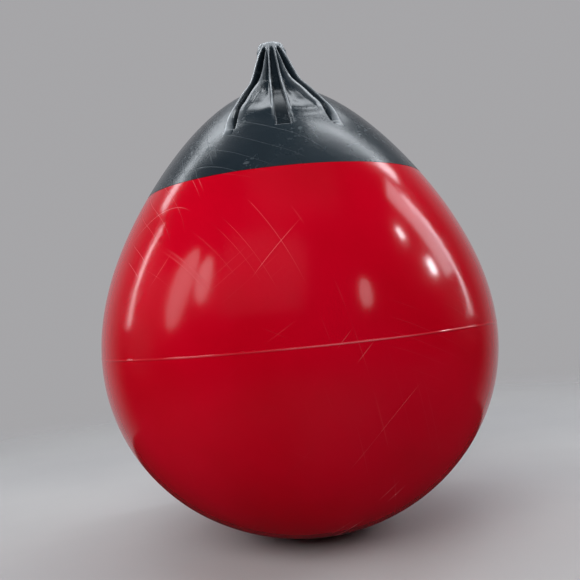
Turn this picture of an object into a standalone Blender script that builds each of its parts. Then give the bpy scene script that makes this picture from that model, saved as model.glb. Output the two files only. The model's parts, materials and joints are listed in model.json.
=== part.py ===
"""Inflatable teardrop mooring buoy: a vinyl float, a ribbed rope hold and an air valve.

The buoy stands on the small flat at its base. The origin is the middle of that flat, +Z runs up
through the rope hold, and the rope eye is bored along X. Everything is in metres.
"""

import math

import bmesh
import bpy
from mathutils import Matrix, Vector

# Float
LENGTH = 0.500              # base flat to the top of the rope hold
MAX_RADIUS = 0.1972
FOOT_RADIUS = 0.030         # flat that the float stands on
LOWER_DEPTH = 0.956         # depth of the lower half-ellipse, in maximum radii
UPPER_ROUND = 1.025         # teardrop above the widest level: r^2 = 1 - h^2 / (round + draw * h^2)
UPPER_DRAW = 0.432
WALL = 0.004
GAP = 0.0003                # clearance between pieces that touch
COLOUR_SPLIT_Z = 0.3453     # level where the red wall meets the black shoulder
LAP_LENGTH = 0.014          # how far the black tongue reaches down inside the red wall
LAP_DEPTH = 0.0020          # thickness of the red wall over the tongue
COLUMNS = 64                # facets round the float
SHELL_TOP_LEVEL = 0.328     # rings of the red shell's outer surface, down to the widest level and below it
SHELL_LOW_LEVELS = (0.156, 0.126, 0.097, 0.071, 0.048, 0.029, 0.015, 0.006)
SHELL_INNER_LEVELS = (0.010, 0.035, 0.066, 0.100, 0.140, 0.187, 0.235, 0.285)

# Rope hold. A drop is a distance below the top of the hold.
CAP_DROP = 0.008            # the top is a quarter ellipse down to here
CREST = ((CAP_DROP, 0.0163), (0.0142, 0.0219), (0.0256, 0.0294), (0.0503, 0.0454), (0.0645, 0.0616),
         (0.0783, 0.0767), (0.0943, 0.0937), (0.1110, 0.1060))
CHEEK = ((CAP_DROP, 0.0130), (0.0150, 0.0148), (0.0600, 0.0148))
FAN_ANGLES = (38.0, 31.0)   # half-angle of each rib fan from the Y axis, at its top and its foot
FAN_SPAN = (0.010, 0.110)   # a span is the pair of drops between which something changes
FAN_FADE_DROP = 0.1110
FOOT_SPREAD = 3.4           # angle that the slots turn in at the foot, in degrees
FOOT_SPAN = (0.085, 0.111)
CHANNEL_HALF_WIDTHS = (0.0022, 0.0072)
CHANNEL_WIDENS = (0.012, 0.105)
CHANNEL_DEPTH = 0.0055
CHANNEL_STARTS = (0.010, 0.022)
CHANNEL_SINK = 0.0018       # a sink is the depth of a hollow's floor below the plain shoulder
CHANNEL_END_DROP = 0.1112
LIP_WIDTH = 0.0018          # rib between the channel and a pocket
POCKET_SHARES = (0.25, 0.5, 0.8)
POCKET_DEPTH = 0.0036
POCKET_STARTS = (0.014, 0.042)
POCKET_SINK = 0.0010
POCKET_END_DROP = 0.0942
RIDGE_WIDTH = 0.0030        # rib between a pocket and a slot
SLOT_WIDTHS = (0.0040, 0.0064)
SLOT_WIDENS = (0.012, 0.050)
SLOT_TIP_SHARE = 0.28       # width of a slot's tip, as a share of its full width
SLOT_DEPTH = 0.0105
SLOT_STARTS = (0.010, 0.024)
SLOT_SINK = 0.0040
SLOT_END_DROP = 0.1092
RAIL_WIDTH = 0.0030         # rib outside a slot
ROOT_SPAN = (0.052, 0.070)  # below it, the hollows are cut from the shoulder instead of the crest
SETTLE_SPAN = (0.080, 0.104)    # the ribs inside the rails sink into the shoulder here
RIB_DROPS = (0.0170, 0.0880)
FOOT_DROPS = (0.0990, 0.1045, 0.1150)
SHOULDER_LEVELS = (0.3800, 0.3685, 0.3570)
SIDE_COLUMNS = 5            # facets between a fan and the X axis
ROOT_WALL = 0.009           # wall under the ribs
THICKENING = (0.370, 0.395)     # the shoulder's wall grows to the root wall between these levels
CAVITY_LEVELS = (0.3550, 0.3700, 0.3850, 0.3950, 0.4078, 0.4205, 0.4333, 0.4460)

# Rope eye
EYE_DROP = 0.0288
EYE_RADIUS = 0.012
EYE_FLARE = 0.0035
EYE_REACH = 0.040

# Air valve, on the shoulder at +Y. Heights are measured outwards from the shoulder's surface.
VALVE_Z = 0.3655
BOSS_RADIUS = 0.018
BOSS_TOP = 0.0020
BOSS_BOTTOM = -0.009
BARREL_RADIUS = 0.0090
BARREL_BOTTOM = -0.0140
BEVEL = 0.0008              # on the flange and the plug's head
GASKET_THICKNESS = 0.0015
GASKET_RADIUS = 0.0130
FLANGE_RADIUS = 0.0135
FLANGE_THICKNESS = 0.0027
SEAL_SECTION = 0.0018       # thickness of the O-ring
SEAL_RADIUS = 0.0064        # centre line of the O-ring
SEAL_RECESS_RADIUS = 0.0076
THREAD_RADIUS = 0.0050
THREAD_DEPTH = 0.0008
THREAD_PITCH = 0.0020
THREAD_LENGTH = 0.0095
THREAD_BORE = 0.0053
THREAD_FLANKS = (0.25, 0.75)    # part of each half pitch that the flank takes
THREAD_RUNOUT = 0.0010
THREAD_STEPS = 6            # rings for each turn of the thread
THREAD_SIDES = 18
HEAD_RADIUS = 0.0085
HEAD_THICKNESS = 0.0035
HEAD_CROWN_WIDTH = 0.0030
HEAD_CROWN_DROP = 0.0006
SCREW_SLOT_WIDTH = 0.0018
SCREW_SLOT_DEPTH = 0.0020
PORT_RADIUS = 0.0025
SEAT_TOP = -0.0035
SEAT_BOTTOM = -0.0060
CHAMBER_RADIUS = 0.0065
DISC_RADIUS = 0.0055
DISC_THICKNESS = 0.0016
DISC_TRAVEL = 0.0015
CAGE_THICKNESS = 0.0035
CAGE_HOLE_RADIUS = 0.0012
CAGE_HOLE_CIRCLE = 0.0036

EDGE = 0.0004               # run of a near-vertical rib wall
TOOL_OVERRUN = 0.002        # how far a cutting tool passes through
RED = (0.56, 0.000, 0.013)
BLACK = (0.012, 0.020, 0.028)
GREY = (0.10, 0.11, 0.12)
OFF_WHITE = (0.62, 0.62, 0.58)
RUBBER = (0.02, 0.02, 0.02)


def clear_scene():
    for thing in list(bpy.data.objects):
        bpy.data.objects.remove(thing, do_unlink=True)


def ramp(value, start, end):
    """0 before start, 1 after end, and straight in between."""
    return min(1.0, max(0.0, (value - start) / (end - start)))


def blend(low, high, amount):
    return low + (high - low) * amount


def curve_through(points, x):
    """Smooth curve through (x, y) points that never overshoots between them."""
    xs = [p[0] for p in points]
    ys = [p[1] for p in points]
    if x <= xs[0]:
        return ys[0]
    if x >= xs[-1]:
        return ys[-1]
    slopes = [(ys[i + 1] - ys[i]) / (xs[i + 1] - xs[i]) for i in range(len(xs) - 1)]
    tangents = [slopes[0]]
    for before, after in zip(slopes, slopes[1:]):
        same_way = before * after > 0.0
        tangents.append(2.0 * before * after / (before + after) if same_way else 0.0)
    tangents.append(slopes[-1])
    i = max(k for k in range(len(xs) - 1) if xs[k] <= x)
    step = xs[i + 1] - xs[i]
    t = (x - xs[i]) / step
    start = (1.0 + 2.0 * t) * (1.0 - t) ** 2 * ys[i] + t * (1.0 - t) ** 2 * step * tangents[i]
    end = t * t * (3.0 - 2.0 * t) * ys[i + 1] + t * t * (t - 1.0) * step * tangents[i + 1]
    return start + end


# The float's outline

WIDEST_Z = LOWER_DEPTH * math.sqrt(MAX_RADIUS ** 2 - FOOT_RADIUS ** 2)


def float_radius(z):
    """Outer radius of the plain teardrop at height z."""
    h = (z - WIDEST_Z) / MAX_RADIUS
    spread = LOWER_DEPTH ** 2 if h < 0.0 else UPPER_ROUND + UPPER_DRAW * h * h
    return MAX_RADIUS * math.sqrt(max(0.0, 1.0 - h * h / spread))


def float_slope(z):
    step = 0.0002
    return (float_radius(z + step) - float_radius(z - step)) / (2.0 * step)


def float_point(z, depth):
    """Point (radius, height) at a depth under the teardrop's surface, square to it."""
    slope = float_slope(z)
    stretch = math.hypot(1.0, slope)
    return float_radius(z) - depth / stretch, z + depth * slope / stretch


def levels(start, end, count):
    return [blend(start, end, i / (count - 1)) for i in range(count)]


# Building blocks

def material(name, colour, roughness):
    new = bpy.data.materials.new(name)
    new.use_nodes = True
    shader = new.node_tree.nodes["Principled BSDF"]
    shader.inputs["Base Color"].default_value = (*colour, 1.0)
    shader.inputs["Roughness"].default_value = roughness
    return new


def add_object(name, mesh, surface=None, matrix=None):
    piece = bpy.data.objects.new(name, mesh)
    bpy.context.collection.objects.link(piece)
    if surface:
        mesh.materials.append(surface)
    if matrix:
        piece.matrix_world = matrix
    return piece


def turned(name, outline, steps, surface=None, matrix=None, closed=False):
    """Piece turned about Z from an outline that runs down its outer side."""
    mesh = bpy.data.meshes.new(name)
    edges = [(i, i + 1) for i in range(len(outline) - 1)]
    if closed:
        edges.append((len(outline) - 1, 0))
    mesh.from_pydata([(r, 0.0, z) for r, z in outline], edges, [])
    piece = add_object(name, mesh, surface, matrix)
    screw = piece.modifiers.new("turn", "SCREW")
    screw.axis = "Z"
    screw.steps = steps
    screw.render_steps = steps
    screw.use_merge_vertices = True
    screw.merge_threshold = 0.00001
    screw.use_smooth_shade = True
    return piece


def cut(piece, tool, operation="DIFFERENCE"):
    """Combine a piece with a tool body, which stays in the file as a hidden guide."""
    step = piece.modifiers.new(tool.name, "BOOLEAN")
    step.solver = "EXACT"
    step.operation = operation
    step.object = tool
    tool.hide_render = True
    tool.display_type = "WIRE"


def rod_outline(radius, top, bottom):
    return [(0.0, top), (radius, top), (radius, bottom), (0.0, bottom)]


# Rope hold

def crest_radius(drop):
    """Radius of the rib crests at a drop below the top."""
    if drop < CAP_DROP:
        return CREST[0][1] * math.sqrt(1.0 - (1.0 - drop / CAP_DROP) ** 2)
    return curve_through(CREST, drop)


def cheek_offset(drop):
    """Distance from the centre plane to the flat cheek beside the eye."""
    if drop < CAP_DROP:
        return CHEEK[0][1] * math.sqrt(1.0 - (1.0 - drop / CAP_DROP) ** 2)
    return curve_through(CHEEK, drop)


def rib_angles(drop):
    """Angles from the Y axis of the rib features in a quarter turn, in radians."""
    radius = max(crest_radius(drop), CREST[1][1])
    fan = math.radians(blend(*FAN_ANGLES, ramp(drop, *FAN_SPAN)))
    channel = blend(*CHANNEL_HALF_WIDTHS, ramp(drop, *CHANNEL_WIDENS)) / radius
    foot = ramp(drop, *FOOT_SPAN)
    slot_outer = fan - RAIL_WIDTH / radius - math.radians(FOOT_SPREAD) * foot
    slot_width = blend(*SLOT_WIDTHS, ramp(drop, *SLOT_WIDENS)) * blend(1.0, SLOT_TIP_SHARE, foot)
    slot_inner = slot_outer - slot_width / radius
    ridge = slot_inner - RIDGE_WIDTH / radius
    pocket = channel + LIP_WIDTH / radius
    edge = EDGE / radius
    angles = [0.0, channel - edge, channel, pocket]
    angles += [blend(pocket, ridge, share) for share in POCKET_SHARES]
    angles += [ridge, slot_inner, slot_inner + edge, slot_outer - edge, slot_outer, fan, fan + edge]
    return angles + [blend(fan, math.pi / 2, k / SIDE_COLUMNS) for k in range(1, SIDE_COLUMNS + 1)]


def rib_cuts(drop):
    """Depth cut below the crest at each of the rib angles."""
    stand = max(0.0, crest_radius(drop) - float_radius(LENGTH - drop))
    settle = stand * ramp(drop, *SETTLE_SPAN)

    def hollow(depth, starts, sink, end_drop):
        if drop > end_drop:
            return settle
        return blend(depth * ramp(drop, *starts), stand + sink, ramp(drop, *ROOT_SPAN))

    channel = hollow(CHANNEL_DEPTH, CHANNEL_STARTS, CHANNEL_SINK, CHANNEL_END_DROP)
    pocket = hollow(POCKET_DEPTH, POCKET_STARTS, POCKET_SINK, POCKET_END_DROP)
    slot = hollow(SLOT_DEPTH, SLOT_STARTS, SLOT_SINK, SLOT_END_DROP)
    side = blend(settle, pocket, 0.75)
    return [channel, channel, settle, settle, side, pocket, side, settle, settle, slot, slot, 0.0, 0.0]


def quarter_ring(drop):
    """Angles and radii of a quarter of the shoulder's outer surface at a drop."""
    plain = float_radius(LENGTH - drop)
    crest = crest_radius(drop) if drop < FAN_FADE_DROP else 0.0
    cuts = rib_cuts(drop)
    ring = []
    for i, angle in enumerate(rib_angles(drop)):
        if i < len(cuts):
            radius = max(plain, crest) - cuts[i]
        else:
            radius = max(plain, min(crest, cheek_offset(drop) / math.sin(angle)))
        ring.append((angle, radius))
    return ring


def full_ring(quarter, z):
    """Mirror a quarter ring about both centre planes."""
    count = len(quarter) - 1
    points = []
    for j in range(4 * count):
        side, i = divmod(j, count)
        angle, radius = quarter[i] if side % 2 == 0 else quarter[count - i]
        turn = side * math.pi / 2 + (angle if side % 2 == 0 else math.pi / 2 - angle)
        points.append((radius * math.sin(turn), -radius * math.cos(turn), z))
    return points


def plain_ring(radius, z):
    return [(radius * math.sin(t), -radius * math.cos(t), z)
            for t in (2.0 * math.pi * j / COLUMNS for j in range(COLUMNS))]


def join_loops(body, upper, lower):
    """Faces between two loops of vertices, as quads, or as triangles where the counts differ."""
    if len(upper) == len(lower):
        for j in range(len(upper)):
            k = (j + 1) % len(upper)
            body.faces.new((upper[j], lower[j], lower[k], upper[k]))
        return
    turns = [[math.atan2(v.co.x, -v.co.y) % (2.0 * math.pi) for v in loop] + [2.0 * math.pi]
             for loop in (upper, lower)]
    i = j = 0
    while i < len(upper) or j < len(lower):
        a = upper[i % len(upper)]
        b = lower[j % len(lower)]
        if j == len(lower) or (i < len(upper) and turns[0][i + 1] < turns[1][j + 1]):
            i += 1
            body.faces.new((a, b, upper[i % len(upper)]))
        else:
            j += 1
            body.faces.new((a, b, lower[j % len(lower)]))


def skin(rings, top, bottom):
    """Closed mesh over a stack of rings between two poles."""
    body = bmesh.new()
    loops = [[body.verts.new(p) for p in ring] for ring in rings]
    for upper, lower in zip(loops, loops[1:]):
        join_loops(body, upper, lower)
    for loop, pole in ((loops[0], top), (loops[-1], bottom)):
        centre = body.verts.new(pole)
        for j in range(len(loop)):
            body.faces.new((centre, loop[j], loop[(j + 1) % len(loop)]))
    bmesh.ops.recalc_face_normals(body, faces=body.faces)
    mesh = bpy.data.meshes.new("rope_hold")
    body.to_mesh(mesh)
    body.free()
    mesh.shade_smooth()
    mesh.set_sharp_from_angle(angle=math.radians(30.0))
    return mesh


def hold_drops():
    """Drops of the rings over the ribs, closer together where a hollow ends."""
    drops = [CAP_DROP * (1.0 - math.cos(math.radians(a))) for a in (28.0, 58.0, 90.0)]
    drops += [1.5 * CAP_DROP] + levels(*RIB_DROPS, 12) + list(FOOT_DROPS)
    for end in (POCKET_END_DROP, SLOT_END_DROP, CHANNEL_END_DROP):
        drops += [end - EDGE, end + EDGE]
    return sorted(drops)


def make_rope_hold():
    rings = [full_ring(quarter_ring(drop), LENGTH - drop) for drop in hold_drops()]
    rings += [plain_ring(float_radius(z), z) for z in SHOULDER_LEVELS]
    top_edge = COLOUR_SPLIT_Z + GAP / 2
    tongue_end = COLOUR_SPLIT_Z - LAP_LENGTH + GAP / 2
    rings.append(plain_ring(float_radius(top_edge), top_edge))
    rings.append(plain_ring(*float_point(top_edge, LAP_DEPTH + GAP / 2)))
    rings.append(plain_ring(*float_point(tongue_end, LAP_DEPTH + GAP / 2)))
    rings.append(plain_ring(*float_point(tongue_end, WALL)))
    for z in CAVITY_LEVELS:
        wall = blend(WALL, ROOT_WALL, ramp(z, *THICKENING))
        rings.append(plain_ring(*float_point(z, wall)))
    ceiling = rings[-1][0][2]
    surface = material("black_vinyl", BLACK, 0.28)
    mesh = skin(rings, (0.0, 0.0, LENGTH), (0.0, 0.0, ceiling))
    hold = add_object("rope_hold", mesh, surface)

    cheek = cheek_offset(EYE_DROP)
    arc = [math.radians(a) for a in (0.0, 30.0, 60.0, 90.0)]
    mouth = EYE_RADIUS + EYE_FLARE
    flare = [(mouth - EYE_FLARE * math.sin(a), cheek - EYE_FLARE * (1.0 - math.cos(a))) for a in arc]
    half = [(0.0, EYE_REACH), (mouth, EYE_REACH)] + flare
    eye_outline = half + [(r, -x) for r, x in reversed(half)]
    across = Matrix.Translation((0.0, 0.0, LENGTH - EYE_DROP)) @ Matrix.Rotation(math.pi / 2, 4, "Y")
    eye = turned("eye_cutter", eye_outline, 32, matrix=across)
    boss = turned("boss_body", rod_outline(BOSS_RADIUS, BOSS_TOP, BOSS_BOTTOM), 40, matrix=valve_frame())
    bore_outline = rod_outline(BARREL_RADIUS + GAP, BOSS_TOP + TOOL_OVERRUN, BARREL_BOTTOM - TOOL_OVERRUN)
    bore = turned("bore_cutter", bore_outline, 32, matrix=valve_frame())
    cut(hold, boss, "UNION")
    cut(hold, bore)
    cut(hold, eye)
    return hold


def make_body_shell():
    rim = COLOUR_SPLIT_Z - GAP / 2
    recess = COLOUR_SPLIT_Z - LAP_LENGTH - GAP / 2
    inner_top = float_point(rim, LAP_DEPTH - GAP / 2)
    outline = [inner_top, (float_radius(rim), rim)]
    outline += [(float_radius(z), z) for z in levels(SHELL_TOP_LEVEL, WIDEST_Z, 8)]
    outline += [(float_radius(z), z) for z in SHELL_LOW_LEVELS]
    outline += [(FOOT_RADIUS, 0.0), (0.0, 0.0), (0.0, WALL), (FOOT_RADIUS, WALL)]
    outline += [float_point(z, WALL) for z in SHELL_INNER_LEVELS]
    outline += [float_point(recess, WALL), float_point(recess, LAP_DEPTH - GAP / 2)]
    return turned("body_shell", outline, COLUMNS, material("red_vinyl", RED, 0.22), closed=True)


# Air valve

def valve_frame():
    """Frame on the shoulder at +Y whose Z axis points straight out of the surface."""
    outward = Vector((0.0, 1.0, -float_slope(VALVE_Z))).normalized()
    across = Vector((1.0, 0.0, 0.0))
    turn = Matrix((across, outward.cross(across), outward)).transposed().to_4x4()
    return Matrix.Translation((0.0, float_radius(VALVE_Z), VALVE_Z)) @ turn


GASKET_BOTTOM = BOSS_TOP + GAP
FLANGE_BOTTOM = GASKET_BOTTOM + GASKET_THICKNESS + GAP
FLANGE_TOP = FLANGE_BOTTOM + FLANGE_THICKNESS
HEAD_BOTTOM = FLANGE_TOP + GAP
SEAL_HEIGHT = HEAD_BOTTOM - GAP - SEAL_SECTION / 2
SEAL_FLOOR = SEAL_HEIGHT - SEAL_SECTION / 2 - GAP
DISC_TOP = SEAT_BOTTOM - GAP
CAGE_TOP = DISC_TOP - DISC_THICKNESS - DISC_TRAVEL - GAP


def make_valve_body():
    outline = [(SEAL_RECESS_RADIUS, FLANGE_TOP), (FLANGE_RADIUS - BEVEL, FLANGE_TOP),
               (FLANGE_RADIUS, FLANGE_TOP - BEVEL), (FLANGE_RADIUS, FLANGE_BOTTOM),
               (BARREL_RADIUS, FLANGE_BOTTOM), (BARREL_RADIUS, BARREL_BOTTOM),
               (CHAMBER_RADIUS, BARREL_BOTTOM), (CHAMBER_RADIUS, SEAT_BOTTOM),
               (PORT_RADIUS, SEAT_BOTTOM), (PORT_RADIUS, SEAT_TOP),
               (THREAD_BORE, SEAT_TOP), (THREAD_BORE, SEAL_FLOOR), (SEAL_RECESS_RADIUS, SEAL_FLOOR)]
    grey = material("grey_nylon", GREY, 0.45)
    return turned("valve_body", outline, 32, grey, valve_frame(), closed=True)


def make_valve_gasket():
    top = GASKET_BOTTOM + GASKET_THICKNESS
    inner = BARREL_RADIUS + GAP
    outline = [(inner, top), (GASKET_RADIUS, top), (GASKET_RADIUS, GASKET_BOTTOM), (inner, GASKET_BOTTOM)]
    rubber = material("gasket_rubber", RUBBER, 0.75)
    return turned("valve_gasket", outline, 32, rubber, valve_frame(), closed=True)


def make_screw_o_ring():
    half = SEAL_SECTION / 2
    angles = [2.0 * math.pi * k / 8 for k in range(8)]
    outline = [(SEAL_RADIUS + half * math.sin(a), SEAL_HEIGHT + half * math.cos(a)) for a in angles]
    rubber = material("seal_rubber", RUBBER, 0.6)
    return turned("screw_o_ring", outline, 32, rubber, valve_frame(), closed=True)


def thread_radius(turn, depth):
    """Radius of the right-hand thread at an angle (in turns) and a depth below the head."""
    phase = (depth / THREAD_PITCH + turn) % 1.0
    crest = ramp(1.0 - abs(2.0 * phase - 1.0), *THREAD_FLANKS)
    fade = ramp(depth, 0.0, THREAD_RUNOUT) * ramp(THREAD_LENGTH - depth, 0.0, THREAD_RUNOUT)
    return THREAD_RADIUS - THREAD_DEPTH * (1.0 - crest * fade)


def make_valve_screw():
    """Plug with a domed, slotted head and a threaded shank."""
    sides = THREAD_SIDES
    body = bmesh.new()
    crown_foot = HEAD_THICKNESS - HEAD_CROWN_DROP
    head = [(HEAD_RADIUS - HEAD_CROWN_WIDTH, HEAD_THICKNESS), (HEAD_RADIUS - BEVEL, crown_foot),
            (HEAD_RADIUS, crown_foot - BEVEL), (HEAD_RADIUS, 0.0)]
    rings = [[(r, h)] * sides for r, h in head]
    depths = levels(0.0, THREAD_LENGTH, round(THREAD_LENGTH / THREAD_PITCH * THREAD_STEPS) + 1)
    rings += [[(thread_radius(j / sides, d), -d) for j in range(sides)] for d in depths]
    loops = []
    for ring in rings:
        turns = [2.0 * math.pi * j / sides for j in range(sides)]
        loops.append([body.verts.new((r * math.cos(t), r * math.sin(t), HEAD_BOTTOM + h))
                      for (r, h), t in zip(ring, turns)])
    for upper, lower in zip(loops, loops[1:]):
        for j in range(sides):
            k = (j + 1) % sides
            body.faces.new((upper[j], lower[j], lower[k], upper[k]))
    body.faces.new(loops[0])
    body.faces.new(list(reversed(loops[-1])))
    bmesh.ops.recalc_face_normals(body, faces=body.faces)
    mesh = bpy.data.meshes.new("valve_screw")
    body.to_mesh(mesh)
    body.free()
    mesh.shade_smooth()
    mesh.set_sharp_from_angle(angle=math.radians(30.0))
    nylon = material("white_nylon", OFF_WHITE, 0.4)
    screw = add_object("valve_screw", mesh, nylon, valve_frame())

    bpy.ops.mesh.primitive_cube_add(size=1.0)
    slot = bpy.context.object
    slot.name = "slot_cutter"
    size = (4.0 * HEAD_RADIUS, SCREW_SLOT_WIDTH, 2.0 * SCREW_SLOT_DEPTH)
    top = HEAD_BOTTOM + HEAD_THICKNESS
    slot.data.transform(Matrix.Diagonal((*size, 1.0)))
    slot.matrix_world = valve_frame() @ Matrix.Translation((0.0, 0.0, top))
    cut(screw, slot)
    return screw


def make_check_disc():
    rubber = material("disc_rubber", RUBBER, 0.7)
    outline = rod_outline(DISC_RADIUS, DISC_TOP, DISC_TOP - DISC_THICKNESS)
    return turned("check_disc", outline, 24, rubber, valve_frame())


def make_check_cage():
    nylon = material("cage_nylon", OFF_WHITE, 0.5)
    outline = rod_outline(CHAMBER_RADIUS - GAP, CAGE_TOP, CAGE_TOP - CAGE_THICKNESS)
    cage = turned("check_cage", outline, 24, nylon, valve_frame())
    for k in range(4):
        turn = Matrix.Rotation(math.pi / 2 * k, 4, "Z") @ Matrix.Translation((CAGE_HOLE_CIRCLE, 0.0, 0.0))
        bottom = CAGE_TOP - CAGE_THICKNESS
        pin_outline = rod_outline(CAGE_HOLE_RADIUS, CAGE_TOP + TOOL_OVERRUN, bottom - TOOL_OVERRUN)
        cut(cage, turned(f"air_hole_cutter_{k + 1}", pin_outline, 12, matrix=valve_frame() @ turn))
    return cage


clear_scene()
make_body_shell()
make_rope_hold()
make_valve_body()
make_valve_gasket()
make_valve_screw()
make_screw_o_ring()
make_check_disc()
make_check_cage()
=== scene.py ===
"""Looks of the inflatable mooring buoy: fine vinyl surfaces, valve finishes, studio and camera."""

import json
import math

import bmesh
import bpy
import numpy as np
from mathutils import Matrix, Vector, noise


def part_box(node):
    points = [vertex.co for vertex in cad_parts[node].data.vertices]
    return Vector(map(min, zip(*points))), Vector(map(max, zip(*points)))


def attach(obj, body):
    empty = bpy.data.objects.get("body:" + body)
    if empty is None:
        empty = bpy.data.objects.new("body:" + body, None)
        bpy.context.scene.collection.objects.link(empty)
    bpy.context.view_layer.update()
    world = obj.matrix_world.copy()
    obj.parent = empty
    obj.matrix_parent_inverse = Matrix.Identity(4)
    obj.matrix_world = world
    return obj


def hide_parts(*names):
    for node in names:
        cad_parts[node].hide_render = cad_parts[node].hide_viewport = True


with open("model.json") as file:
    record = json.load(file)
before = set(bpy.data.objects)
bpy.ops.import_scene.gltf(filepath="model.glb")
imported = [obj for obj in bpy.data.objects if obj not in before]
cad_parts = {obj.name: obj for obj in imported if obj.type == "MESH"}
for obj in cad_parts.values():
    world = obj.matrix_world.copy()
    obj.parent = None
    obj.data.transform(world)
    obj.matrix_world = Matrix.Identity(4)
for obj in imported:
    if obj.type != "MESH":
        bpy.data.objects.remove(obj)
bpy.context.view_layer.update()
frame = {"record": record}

# The frame's own measures, in metres
shell_low, shell_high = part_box("body_shell")
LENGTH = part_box("rope_hold")[1].z
MAX_RADIUS = (shell_high.x - shell_low.x) / 2
GAP = 0.0003                       # clearance that the frame leaves between touching pieces
COLOUR_SPLIT_Z = shell_high.z + GAP / 2
JOINTS = {joint["name"]: joint for joint in frame["record"]["behaviour"]["joints"]}

# The float's outline, as the frame has it
FOOT_RADIUS = 0.030
LOWER_DEPTH = 0.956
UPPER_ROUND = 1.025
UPPER_DRAW = 0.432
WALL = 0.004
LAP_DEPTH = 0.0020
LAP_LENGTH = 0.014
WIDEST_Z = LOWER_DEPTH * math.sqrt(MAX_RADIUS ** 2 - FOOT_RADIUS ** 2)

# Mould parting line round the float
SEAM_Z = WIDEST_Z + 0.0377 * MAX_RADIUS
SEAM_HEIGHT = 0.00032
SEAM_HALF_WIDTH = 0.0007

# Rope hold. A drop is a distance below the top of the hold.
CAP_DROP = 0.008
CREST = np.array([(CAP_DROP, 0.0163), (0.0142, 0.0219), (0.0256, 0.0294), (0.0503, 0.0454),
                  (0.0645, 0.0616), (0.0783, 0.0767), (0.0943, 0.0937), (0.1110, 0.1060)])
CHEEK = np.array([(CAP_DROP, 0.0130), (0.0150, 0.0148), (0.0600, 0.0148)])
FAN_TOP_ANGLE = math.radians(38.0)  # half-angle of each rib fan from the Y axis
FAN_BASE_ANGLE = math.radians(31.0)
FOOT_TURN = math.radians(3.4)      # angle that the slots turn in at the foot
CHANNEL_HALF_WIDTHS = (0.0022, 0.0072)
CHANNEL_DEPTH = 0.0050
CHANNEL_SINK = 0.0018              # a sink is the depth of a hollow's floor below the plain shoulder
POCKET_DEPTH = 0.0042
POCKET_SINK = 0.0009
SLOT_WIDTHS = (0.0046, 0.0074)
SLOT_TIP_SHARE = 0.12              # width of a slot's tip, as a share of its full width
SLOT_DEPTH = 0.0100
SLOT_SINK = 0.0045
SLOT_WALL_SHARE = 0.18             # each side wall of a slot, as a share of its width
ROOT_SPAN = (0.052, 0.070)         # below it, the hollows are cut from the shoulder, not from the crest
POCKET_END_DROP = 0.0942
SLOT_END_DROP = 0.1092
CHANNEL_END_DROP = 0.1112
ROOT_WALL = 0.009
FILLET = 0.0012                    # rounding where the hold's flanks meet the shoulder
BASE_FILLET = 0.0040               # rounding where the ribs run out at their foot
EYE_DROP = 0.0288
EYE_RADIUS = 0.012
EYE_FLARE = 0.0035

# Valve boss on the shoulder
BOSS_RADIUS = 0.018
BOSS_TOP = 0.0020

COLUMNS = 288
SLIVER = 2e-6                      # booleans leave edges shorter than this, which are cleaned away


# Shape functions. They take and return numpy arrays.

def ramp(value, start, end):
    return np.clip((value - start) / (end - start), 0.0, 1.0)


def ease(value, start, end):
    t = ramp(value, start, end)
    return t * t * (3.0 - 2.0 * t)


def blend(low, high, amount):
    return low + (high - low) * amount


def larger(a, b, rounding):
    """The larger of two, with a rounded change-over."""
    return (a + b + np.sqrt((a - b) ** 2 + rounding ** 2)) / 2


def curve_through(points, x):
    """Smooth curve through (x, y) points that never overshoots between them."""
    xs, ys = points[:, 0], points[:, 1]
    slopes = np.diff(ys) / np.diff(xs)
    pairs = slopes[:-1] * slopes[1:]
    middle = np.where(pairs > 0.0, 2.0 * pairs / (slopes[:-1] + slopes[1:] + 1e-12), 0.0)
    tangents = np.concatenate((slopes[:1], middle, slopes[-1:]))
    x = np.clip(x, xs[0], xs[-1])
    i = np.clip(np.searchsorted(xs, x, side="right") - 1, 0, len(xs) - 2)
    step = xs[i + 1] - xs[i]
    t = (x - xs[i]) / step
    start = (1.0 + 2.0 * t) * (1.0 - t) ** 2 * ys[i] + t * (1.0 - t) ** 2 * step * tangents[i]
    return start + t * t * (3.0 - 2.0 * t) * ys[i + 1] + t * t * (t - 1.0) * step * tangents[i + 1]


def float_radius(z):
    """Outer radius of the plain teardrop at height z."""
    h = (np.asarray(z, dtype=float) - WIDEST_Z) / MAX_RADIUS
    spread = np.where(h < 0.0, LOWER_DEPTH ** 2, UPPER_ROUND + UPPER_DRAW * h * h)
    return MAX_RADIUS * np.sqrt(np.maximum(0.0, 1.0 - h * h / spread))


def float_point(z, depth):
    """Points (radius, height) at a depth under the teardrop's surface, square to it."""
    delta = 0.0002
    slope = (float_radius(z + delta) - float_radius(z - delta)) / (2.0 * delta)
    stretch = np.hypot(1.0, slope)
    return np.stack((float_radius(z) - depth / stretch, z + depth * slope / stretch), axis=-1)


def under_cap(points, drop):
    """A quarter ellipse over the cap, and the curve through the points below it."""
    cap = points[0, 1] * np.sqrt(np.maximum(0.0, 1.0 - (1.0 - np.minimum(drop, CAP_DROP) / CAP_DROP) ** 2))
    return np.where(drop < CAP_DROP, cap, curve_through(points, drop))


def crest_radius(drop):
    """Radius of the rib crests."""
    return under_cap(CREST, drop)


def cheek_offset(drop):
    """Distance from the centre plane to the flat cheek beside the eye."""
    return under_cap(CHEEK, drop)


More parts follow.
